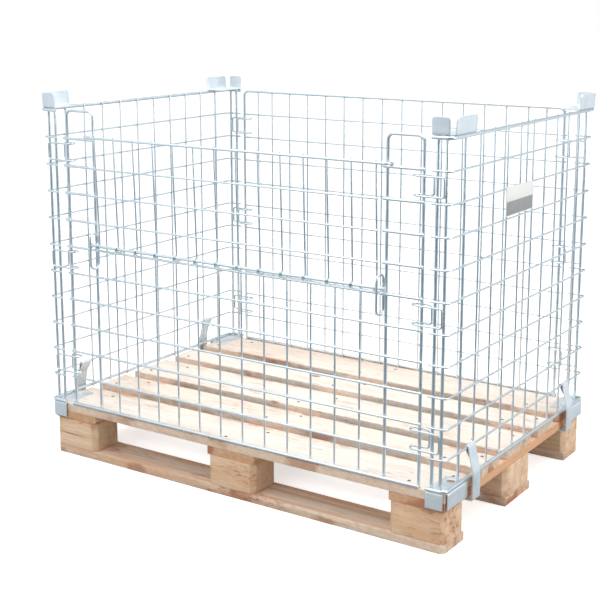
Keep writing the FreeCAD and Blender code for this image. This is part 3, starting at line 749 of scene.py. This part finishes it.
marks = []
for name, s in SIDES:
    levels = sum((rods[n + name] for n in ("end_bottom_rail_", "end_level_wires_", "end_top_rail_")), [])
    marks += touches(levels, rods["end_uprights_" + name] + rods["corner_posts_" + name])
front_levels = rods["front_level_wires"] + rods["front_rungs"] + rods["front_sill_rod"] + rods["front_bottom_rail"]
marks += touches(front_levels, rods["front_ladder_left"] + rods["front_ladder_right"] + rods["front_uprights"])
marks += touches(rods["back_level_wires"] + rods["back_bottom_rail"], rods["back_frame"] + rods["back_uprights"])
marks += touches(rods["front_sill_rod"], rods["gate_guide_rings"])
frame_foot, frame_bend = rods["back_frame"][0].points[:2]
marks += touches(rods["back_uprights"], [Wire([(x, frame_foot.y, frame_bend.z) for x in (-0.5, 0.5)], 8 * MM)])
rail_weld_x = 598.4 * MM
for name, s, t in CORNERS:
    # the rings are welded to the outer corner post, and the posts to the sheet corners above and below
    for ring in rods["hinge_rings_" + name]:
        low, high = ring.points[:2]
        for z in np.linspace(low.z + 8 * MM, high.z - 8 * MM, 5):
            at = Vector((low.x + s * 1.6 * MM, low.y - t * 2.2 * MM, z))
            marks.append((at, UP, RING_BEAD))
    lo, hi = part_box("shoe_" + name)
    plate_low, plate_high = hi.z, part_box("bracket_" + name)[0].z
    for post in rods["corner_posts_" + ("left" if s < 0 else "right")]:
        p = post.points[0]
        if p.y * t > 0:
            for i in range(8):
                a = math.pi * i / 4
                around = Vector((math.cos(a), math.sin(a), 0))
                for z in (plate_low + 0.4 * MM, plate_high - 0.4 * MM):
                    marks.append((Vector((p.x, p.y, z)) + around * 4.6 * MM, around.cross(UP), POST_BEAD))
    # two runs of seven beads hold each sheet corner to the end wall's rail
    for first in (14, 62):
        for i in range(7):
            y = t * (abs(lo.y if t > 0 else hi.y) + (first + 3.6 * i) * MM)
            for z in (plate_low + 1.0 * MM, plate_high - 1.0 * MM):
                marks.append((Vector((s * rail_weld_x, y, z)), Vector((0.15, 1, 0)), RAIL_BEAD))
bead_piece("mesh_welds", marks, "frame", 11)
gate_across = gate_levels + [Wire(top_rod.points[2:4], top_rod.thick)]
bead_piece("gate_welds", touches(gate_across, [Wire(w.points[:2], w.thick) for w in gate_uprights]), "gate", 12)


# ------------------------------------------------------------------ folded sheet
def press(name, rows, plate, thick, material, rim=0.5 * MM, flip=(1, 1), hole=()):
    """Sheet built from strips of points and one flat plate, thickened both ways and its rim eased."""
    bm = bmesh.new()
    for strip in rows:
        lines = [[bm.verts.new((p[0] * flip[0], p[1] * flip[1], p[2])) for p in line] for line in strip]
        for a, b in zip(lines, lines[1:]):
            for i in range(len(a) - 1):
                bm.faces.new((a[i], a[i + 1], b[i + 1], b[i]))
    if plate:
        edges = []
        for outline in (plate, hole):
            spots = [bm.verts.new((p[0] * flip[0], p[1] * flip[1], p[2])) for p in outline]
            edges += [bm.edges.new((a, b)) for a, b in zip(spots, spots[1:] + spots[:1])]
        bmesh.ops.triangle_fill(bm, use_beauty=True, edges=edges, normal=(0, 0, 1))
    bmesh.ops.remove_doubles(bm, verts=bm.verts, dist=0.02 * MM)
    bmesh.ops.recalc_face_normals(bm, faces=bm.faces)
    piece = new_piece(name, end_edit(bm, bpy.data.meshes.new(name)), material)
    solid = piece.modifiers.new("thickness", "SOLIDIFY")
    solid.thickness, solid.offset, solid.use_even_offset = thick, 0.0, True
    ease = piece.modifiers.new("rim", "BEVEL")
    ease.width, ease.segments, ease.limit_method, ease.angle_limit = rim, 2, "ANGLE", math.radians(50)
    settle(piece)
    tidy_normals(piece.data, 35)
    mark_arris(piece.data)
    return piece


def mark_arris(mesh):
    """Says how sharply the surface turns at each point, for wear along the edges."""
    fully_sharp = 0.6
    bm = start_edit(mesh)
    turn = [max([e.calc_face_angle(0.0) for e in v.link_edges if len(e.link_faces) == 2] or [0.0]) for v in bm.verts]
    bm.free()
    put_attribute(mesh, "arris", [min(1.0, a / fully_sharp) for a in turn])


def fold(edge, mid, base, way, flare, radius, length, corner, count=6):
    """Rows (out, height, inset) of a flange: a fold of the given radius, then a flat with eased top corners."""
    turn = math.pi / 2 - flare
    lines = [(edge + radius * math.sin(a), mid + way * radius * (1 - math.cos(a)), 0.0)
             for a in [turn * i / 5 for i in range(6)]]
    out, high, _ = lines[-1]
    flat = length - abs(high - base) / math.cos(flare)
    for i in range(1, count + 1):
        s = (flat - corner) * i / count
        lines.append((out + s * math.sin(flare), high + way * s * math.cos(flare), 0.0))
    if corner:
        for i in range(1, 7):
            a = math.pi / 2 * i / 6
            s = flat - corner + corner * math.sin(a)
            lines.append((out + s * math.sin(flare), high + way * s * math.cos(flare), corner * (1 - math.cos(a))))
    return lines


def folded_corner(node, s, t, way, flare, length, corner, bore):
    """A pressed corner: a level plate with one flange along each outer edge, slit apart where the two meet."""
    lo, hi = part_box(node)
    thick, radius, slit = 3 * MM, 3.6 * MM, 10 * MM
    x_in, x_far = sorted((abs(lo.x), abs(hi.x)))
    y_in, y_far = sorted((abs(lo.y), abs(hi.y)))
    over = length * math.sin(flare)
    x_far, y_far = x_far - over, y_far - over
    base = hi.z if way < 0 else lo.z
    mid = base + way * thick / 2
    end_high = mid + way * radius * (1 - math.sin(flare))
    shift = thick / 2 / math.cos(flare) - abs(end_high - base) * math.tan(flare) + radius * math.cos(flare)
    strips, seams = [], []
    for far, start, stop, across in ((y_far, x_in, x_far - slit, 0), (x_far, y_in, y_far - slit, 1)):
        lines = fold(far - shift, mid, base, way, flare, radius, length, corner)
        strip = []
        for out, high, inset in lines:
            spots = np.linspace(start + inset, stop - inset, 9)
            strip.append([(p, out, high) if across == 0 else (out, p, high) for p in spots])
        strips.append(strip)
        seams.append(strip[0])
    plate = [(x_in, y_in, mid)] + seams[1] + seams[0][::-1]
    hole_x, hole_y = x_in + 23 * MM, y_in + 24 * MM
    hole = [(hole_x + bore * math.cos(a), hole_y + bore * math.sin(a), mid)
            for a in [2 * math.pi * i / 28 for i in range(28)]] if bore else ()
    piece = press(node + "_sheet", strips, plate, thick, zinc_sheet, flip=(s, t), hole=hole)
    return hand_in(piece, "frame", "zinc_sheet", node)


for name, s, t in CORNERS:
    folded_corner("shoe_" + name, s, t, -1, 0.0, 40 * MM, 0.0, 10 * MM)
    folded_corner("bracket_" + name, s, t, 1, math.radians(3), 40 * MM, 7 * MM, 0.0)


# ------------------------------------------------------------------ pallet clamps
def bend_path(points, radii, steps=7):
    """Corner points turned into a path that rounds each corner by its radius."""
    path = [Vector(points[0])]
    for i in range(1, len(points) - 1):
        p = Vector(points[i])
        a, b = (Vector(points[i - 1]) - p), (Vector(points[i + 1]) - p)
        half = a.angle(b) / 2
        if radii[i] == 0 or half > math.radians(89):
            path.append(p)
            continue
        cut = min(radii[i] / math.tan(half), a.length * 0.49, b.length * 0.49)
        radius = cut * math.tan(half)
        centre = p + (a.normalized() + b.normalized()).normalized() * (radius / math.sin(half))
        u, v = p + a.normalized() * cut - centre, p + b.normalized() * cut - centre
        for k in range(steps + 1):
            w = u.lerp(v, k / steps)
            path.append(centre + w.normalized() * radius)
    path.append(Vector(points[-1]))
    return path


def strap_clamp(name, s, t):
    """Flat strap looped round the lowest level wire; it slants out past the rail, drops and hooks under the deck."""
    node = "clamp_" + name
    lo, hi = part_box(node)
    thick = 3 * MM
    hang = max(abs(lo.x), abs(hi.x)) - thick / 2
    tip = min(abs(lo.x), abs(hi.x))
    foot = lo.z + thick / 2
    wire = Vector(joints[node + "_swing"]["pos_m"])
    x, z = abs(wire.x), wire.z
    knee = 60 * MM
    slant = math.atan2(hang - x, knee)
    down, side = Vector((math.sin(slant), -math.cos(slant))), Vector((math.cos(slant), math.sin(slant)))
    eye, nip, pinched = 4.3 * MM, 1.65 * MM, 25 * MM
    centre = Vector((x, z))
    loop = [centre - side * nip + down * pinched]
    loop += [centre + Vector((math.cos(a), math.sin(a))) * eye
             for a in [slant + math.pi * (1 - i / 14) for i in range(15)]]
    tail = bend_path([centre + side * eye, centre + side * nip + down * pinched,
                      (hang, z - knee), (hang, foot), (tip, foot)], [0, 60 * MM, 45 * MM, 5 * MM, 0])
    path = loop + tail[1:]
    dense = []
    for a, b in zip(path, path[1:]):
        n = max(1, int((b - a).length / (9 * MM)))
        dense += [a.lerp(b, i / n) for i in range(n)]
    dense.append(path[-1])
    y0, y1 = sorted((abs(lo.y), abs(hi.y)))
    mid, wide = (y0 + y1) / 2, (y1 - y0) / 2
    length = [0.0]
    for a, b in zip(dense, dense[1:]):
        length.append(length[-1] + (b - a).length)
    strip = []
    for p, run in zip(dense, length):
        left = min(length[-1] - run, run)
        r = 5 * MM
        narrow = 0.0 if left >= r else r - math.sqrt(max(0.0, r * r - (r - left) ** 2))
        strip.append([(p.x, mid + f * (wide - narrow), p.y) for f in (-1, -0.8, -0.4, 0, 0.4, 0.8, 1)])
    piece = press(node + "_strap", [strip], None, thick, zinc_sheet, 0.6 * MM, (s, t))
    return hand_in(piece, node, "zinc_sheet", node)


for name, s, t in CORNERS:
    strap_clamp(name, s, t)


# ------------------------------------------------------------------ label holder
def rounded_plate(name, box, radius, material, rim):
    """Thin plate square to X with rounded corners."""
    lo, hi = box
    bm = bmesh.new()
    outline = []
    for cy, cz, a0 in ((hi.y - radius, hi.z - radius, 0), (lo.y + radius, hi.z - radius, 90),
                       (lo.y + radius, lo.z + radius, 180), (hi.y - radius, lo.z + radius, 270)):
        for k in range(6):
            a = math.radians(a0 + 18 * k)
            outline.append((lo.x, cy + radius * math.cos(a), cz + radius * math.sin(a)))
    face = bm.faces.new([bm.verts.new(p) for p in outline])
    grown = bmesh.ops.extrude_face_region(bm, geom=[face])["geom"]
    grown = [g for g in grown if isinstance(g, bmesh.types.BMVert)]
    bmesh.ops.translate(bm, vec=(hi.x - lo.x, 0, 0), verts=grown)
    bmesh.ops.recalc_face_normals(bm, faces=bm.faces)
    rims = [e for e in bm.edges if e.calc_face_angle(0) > 1.0]
    bmesh.ops.bevel(bm, geom=rims, offset=rim, segments=2, profile=0.5, affect="EDGES")
    mesh = end_edit(bm, bpy.data.meshes.new(name), 35)
    mark_arris(mesh)
    return new_piece(name, mesh, material)


lo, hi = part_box("label_plate")
half_way = lo.z + (hi.z - lo.z) * 0.52
edge = 2.5 * MM
backing = rounded_plate("label_backing", (lo, Vector((hi.x - 0.5 * MM, hi.y, hi.z))), 3 * MM, white_card, 0.25 * MM)
hand_in(backing, "frame", "label_face", "label_plate")
field_back, left, right = hi.x - 0.6 * MM, lo.y + edge, hi.y - edge
upper_box = Vector((field_back, left, half_way)), Vector((hi.x - 0.2 * MM, right, hi.z - edge))
upper = rounded_plate("label_upper_field", upper_box, 1.5 * MM, white_card, 0.1 * MM)
hand_in(upper, "frame", "label_face")
lower_box = Vector((field_back, left, lo.z + edge)), Vector((hi.x, right, half_way - 1 * MM))
lower = rounded_plate("label_lower_field", lower_box, 1.5 * MM, grey_card, 0.15 * MM)
hand_in(lower, "frame", "label_face")


def eased_copy(node, suffix, material, size):
    """A CAD node's own shape with its edges eased, as one clean closed mesh."""
    mesh = frame["nodes"][node].data.copy()
    mesh.materials.clear()
    tidy_normals(mesh)
    bm = start_edit(mesh)
    sharp = [e for e in bm.edges if len(e.link_faces) == 2 and e.calc_face_angle() > math.radians(40)]
    bmesh.ops.bevel(bm, geom=sharp, offset=size, segments=2, profile=0.5, affect="EDGES")
    end_edit(bm, mesh, 35)
    mark_arris(mesh)
    return new_piece(node + suffix, mesh, material)


hand_in(eased_copy("label_clips", "_sheet", zinc_sheet, 0.7 * MM), "frame", "zinc_sheet", "label_clips")


# ------------------------------------------------------------------ timber
# half the pallet's length and width, told by its deck; board sides that lie on its outline are toned darker and warmer
pallet_half = [max(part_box(n)[1][axis] for n in frame["nodes"] if n.startswith("deck_board")) for axis in (0, 1)]


def skin(rings, m):
    """Faces of a tube of rings with m points each, closed at both ends."""
    faces = [(i * m + j, i * m + (j + 1) % m, (i + 1) * m + (j + 1) % m, (i + 1) * m + j)
             for i in range(rings - 1) for j in range(m)]
    return faces + [tuple(range(m)), tuple(range((rings - 1) * m, rings * m))]


def plank(node, along, material, seed, tone, cut_side=0, nick=2.4, outline_tone=0.5):
    """A sawn board: arrises that wander and are knocked off here and there, ends sawn square and a little furry."""
    rng = random.Random(seed)
    lo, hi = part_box(node)
    across = 1 - along
    length, width, depth = hi[along] - lo[along], hi[across] - lo[across], hi.z - lo.z
    mid = (lo + hi) / 2
    n = int(length / (22 * MM))
    near_end = [0.0, 0.7 * MM, 2.0 * MM, 6 * MM, 12 * MM]
    stations = sorted(near_end + [i * length / n for i in range(1, n)] + [length - d for d in near_end])
    shift = Vector([rng.uniform(-3, 3), rng.uniform(-0.4, 0.4), rng.uniform(0.01, 0.09)])
    points, grain, arris, tones, ends = [], [], [], [], []
    for d in stations:
        left = min(d, length - d)
        trim = 1.1 * MM * (1 - min(1.0, left / (2.0 * MM))) ** 2
        w2, h2 = width / 2 - 0.15 * MM - trim, depth / 2 - 0.1 * MM - trim * 0.8
        at = d - length / 2
        ring = []
        for c, (sy, sz) in enumerate(((1, -1), (1, 1), (-1, 1), (-1, -1))):
            chip = noise.noise(Vector((at * 14 + seed * 9.1, c * 5.7, 0.3)))
            r = (1.5 + 0.5 * noise.noise(Vector((at * 60, c * 3.1, seed)))) * MM + nick * MM * max(0.0, chip - 0.35) * 2
            cy, cz = sy * (w2 - r), sz * (h2 - r)
            start = (-90, 0, 90, 180)[c]
            for k in range(4):
                a = math.radians(start + 30 * k)
                ring.append((cy + r * math.cos(a), cz + r * math.sin(a), 1.0 if 0 < k < 3 else 0.55))
            # the broad face or the edge that follows the corner
            if c % 2 == 0:
                ring.append((sy * w2, 0.0, 0.6))
            else:
                ring += [(sy * (w2 - r) * (1 - 2 * f), sz * h2, 0.0) for f in (0.12, 0.3, 0.5, 0.7, 0.88)]
        for y, z, worn in ring:
            if cut_side and y * cut_side > 0:
                y = cut_side * min(abs(y), width / 2 - max(0.0, 12 * MM - left))
            wave = 0.22 * MM * noise.noise(Vector((at * 9, y * 20, z * 30 + seed)))
            inner = Vector((at, y, z))
            place = Vector((0, 0, 0))
            place[along] = mid[along] + at
            place[across] = mid[across] + y
            place.z = mid.z + z - abs(wave)
            if place.z < lo.z:
                place.z = lo.z
            points.append(place)
            grain.append(inner + shift)
            arris.append(worn if left > 1 * MM else 1.0)
            # a side on the pallet's outline gets an extra tone, darker and warmer
            outer = abs(place[across]) > pallet_half[across] - 1.0 * MM
            tones.append(min(1.0, max(0.0, tone + (outline_tone if outer else 0.0))))
            ends.append(1.0 if left < 0.5 * MM else 0.0)
    return timber_piece(node, points, skin(len(stations), len(ring)), grain, arris, tones, ends, material)


def timber_piece(node, points, faces, grain, arris, tones, ends, material):
    mesh = bpy.data.meshes.new(node)
    mesh.from_pydata([tuple(p) for p in points], [], faces)
    put_attribute(mesh, "grain", [tuple(g) for g in grain], "FLOAT_VECTOR")
    put_attribute(mesh, "arris", arris)
    put_attribute(mesh, "tone", tones)
    put_attribute(mesh, "cut", ends)
    bm = start_edit(mesh)
    bmesh.ops.recalc_face_normals(bm, faces=bm.faces)
    end_edit(bm, mesh, 38)
    return new_piece(node + "_timber", mesh, material)


def block_mesh(box, seed, tone, chamfer=12 * MM):
    """A pallet block: vertical corners cut off, small eased arrises, faces rippled by the saw."""
    lo, hi = box
    mid, half = (lo + hi) / 2, (hi - lo) / 2
    rng = random.Random(seed)
    shift = Vector([rng.uniform(-3, 3), rng.uniform(-0.3, 0.3), rng.uniform(-0.02, 0.08)])
    near_end = [0.0, 0.5 * MM, 1.6 * MM]
    rows = sorted(near_end + [half.z * 2 * i / 8 for i in range(1, 8)] + [half.z * 2 - d for d in near_end])
    points, grain, arris, tones, ends = [], [], [], [], []
    for d in rows:
        left = min(d, 2 * half.z - d)
        trim = 1.2 * MM * (1 - min(1.0, left / (1.6 * MM))) ** 2
        ring = []
        for sx, sy in ((1, -1), (1, 1), (-1, 1), (-1, -1)):
            a, b = (half.x - chamfer, half.y), (half.x, half.y - chamfer)
            pair = [(sx * a[0], sy * a[1]), (sx * b[0], sy * b[1])]
            if sx * sy > 0:
                pair.reverse()
            ring += pair
        full = []
        for i, p in enumerate(ring):
            q = ring[(i + 1) % len(ring)]
            gap = math.hypot(q[0] - p[0], q[1] - p[1])
            e = 1.1 * MM / gap
            bevel = gap < 30 * MM
            spots = (0.0, e, 1 - e) if bevel else (0.0, e, 0.15, 0.32, 0.5, 0.68, 0.85, 1 - e)
            for f in spots:
                worn = 1.0 if f == 0.0 else 0.3 if f in (e, 1 - e) else 0.0
                full.append((p[0] + (q[0] - p[0]) * f, p[1] + (q[1] - p[1]) * f, worn, bevel))
        for x, y, worn, bevel in full:
            pull = 0.35 * MM * worn
            ripple = 0.3 * MM * abs(noise.noise(Vector((x * 25, y * 25, d * 18 + seed))))
            k = 1 - (trim + pull + ripple) / max(half.x, half.y)
            x, y = x * k, y * k
            points.append(Vector((mid.x + x, mid.y + y, lo.z + d)))
            grain.append(Vector((x, y, d - half.z)) + shift)
            arris.append(max(worn, 1.0 if left < 1 * MM else 0.0))
            outer = 0.28 if abs(y) > half.y - 0.9 * MM else 0.0
            tones.append(min(1.0, max(0.0, tone + (0.2 if bevel else 0.0) + outer)))
            ends.append(0.45 if abs(x) > half.x - 0.9 * MM else 0.0)
    return points, skin(len(rows), len(full)), grain, arris, tones, ends


for i, tone in enumerate((0.02, 0.10, 0.05, 0.0, 0.12)):
    node = "deck_board_%d" % (i + 1)
    hand_in(plank(node, 0, deck_pine, 21 + i, tone), "frame", "deck_wood", node)
for i, name in enumerate(("left", "middle", "right")):
    node = "cross_board_" + name
    hand_in(plank(node, 1, cross_pine, 31 + i, 0.1), "frame", "deck_wood", node)
for i, (name, side) in enumerate((("front", -1), ("middle", 0), ("back", 1))):
    node = "bottom_board_" + name
    hand_in(plank(node, 0, skid_pine, 41 + i, 0.0, side, outline_tone=0.25), "frame", "deck_wood", node)
for i, name in enumerate(("left", "middle", "right")):
    node = "blocks_" + name
    gathered = [[], [], [], [], [], []]
    for j, box in enumerate(solids(node, 1, gap=150 * MM)):
        made = block_mesh(box, 51 + 3 * i + j, 0.05 + 0.08 * ((i + j) % 3))
        start = len(gathered[0])
        gathered[0] += made[0]
        gathered[1] += [tuple(start + v for v in face) for face in made[1]]
        for k in range(2, 6):
            gathered[k] += made[k]
    hand_in(timber_piece(node, *gathered, block_pine), "frame", "block_wood", node)

nail_spots = [(a + b) / 2 for a, b in solids("pallet_nails", 1, 0)]
nail_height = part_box("pallet_nails")[1].z - 0.36 * MM
mesh = bpy.data.meshes.new("pallet_nails")
mesh.from_pydata([(p.x, p.y, nail_height) for p in nail_spots], [], [])
driven = new_piece("pallet_nail_heads", mesh, nail_head)
nails.use_on(driven, head_radius=4.3 * MM, head_height=0.55 * MM, tilt=0.03, seed=7, finish=nail_head)
tidy_normals(driven.data, 30)
hand_in(driven, "frame", "nail_steel", "pallet_nails")


# ------------------------------------------------------------------ floor, light, camera
floor_mesh = bpy.data.meshes.new("floor")
floor_mesh.from_pydata([(-30, -30, 0), (30, -30, 0), (30, 30, 0), (-30, 30, 0)], [], [(0, 1, 2, 3)])
floor = new_piece("studio_floor", floor_mesh, pale_floor())


def softbox(name, place, aim, wide, high, power, colour=(1, 1, 1)):
    light = bpy.data.lights.new(name, "AREA")
    light.shape, light.size, light.size_y, light.energy, light.color = "RECTANGLE", wide, high, power, colour
    lamp = bpy.data.objects.new(name, light)
    lamp.location = place
    lamp.rotation_euler = (Vector(aim) - Vector(place)).to_track_quat("-Z", "Y").to_euler()
    bpy.context.scene.collection.objects.link(lamp)


softbox("overhead_softbox", (0.2, -0.2, 3.6), (0, 0, 0.4), 4.5, 4.5, 105)
softbox("right_softbox", (4.4, 0.2, 1.9), (0, 0, 0.5), 2.6, 2.6, 60)
softbox("front_fill", (-1.6, -4.0, 1.5), (0, 0, 0.3), 2.6, 2.0, 22)


def studio_world():
    """White where it is seen; for light and mirroring a room, pale above and at the sides, dim in front and behind."""
    world = bpy.data.worlds.new("studio")
    bpy.context.scene.world = world
    world.use_nodes = True
    tree = world.node_tree
    tree.nodes.clear()

    def node(kind, values=(), **settings):
        return add_node(tree, kind, values, **settings)

    way = node("ShaderNodeTexCoord").outputs["Generated"]
    high = node("ShaderNodeSeparateXYZ", {0: way}).outputs[2]
    rise = node("ShaderNodeMapRange", {0: high, 1: 0.30, 2: 0.98, 3: 0.0, 4: 1.0}).outputs[0]
    ahead = node("ShaderNodeVectorMath", {0: way, 1: ROOM_FRONT}, operation="DOT_PRODUCT").outputs["Value"]
    front = node("ShaderNodeMapRange", {0: ahead, 1: -0.1, 2: 0.9, 3: 1.05, 4: 0.18}).outputs[0]
    behind = node("ShaderNodeMapRange", {0: ahead, 1: -0.9, 2: -0.2, 3: 0.40, 4: 1.05}).outputs[0]
    dim = node("ShaderNodeMath", {0: front, 1: behind}, operation="MINIMUM").outputs[0]
    level = node("ShaderNodeMix", {0: rise, 2: dim, 3: 1.0}, data_type="FLOAT").outputs[0]
    tint = node("ShaderNodeMix", {0: rise, 6: (0.88, 0.95, 1.0, 1), 7: (1, 1, 1, 1)}, data_type="RGBA").outputs[2]
    room = node("ShaderNodeBackground", {0: tint, 1: level}).outputs[0]
    plain = node("ShaderNodeBackground", {0: (1, 1, 1, 1), 1: 1.0}).outputs[0]
    seen = node("ShaderNodeLightPath").outputs["Is Camera Ray"]
    pick = node("ShaderNodeMixShader", {0: seen, 1: room, 2: plain}).outputs[0]
    tree.links.new(pick, node("ShaderNodeOutputWorld").inputs[0])


studio_world()
bpy.context.scene.view_settings.view_transform = "Standard"

camera = bpy.data.objects.new("camera", bpy.data.cameras.new("camera"))
bpy.context.scene.collection.objects.link(camera)
bpy.context.scene.camera = camera
camera.data.lens, camera.data.sensor_width = 75.2, 36.0
camera.data.shift_x, camera.data.shift_y = -0.007, -0.10
camera.data.clip_end = 100
camera.location = (1.800, -2.763, 1.245)
camera.rotation_euler = (math.radians(90 - 11.18), 0.0, math.radians(33.72))
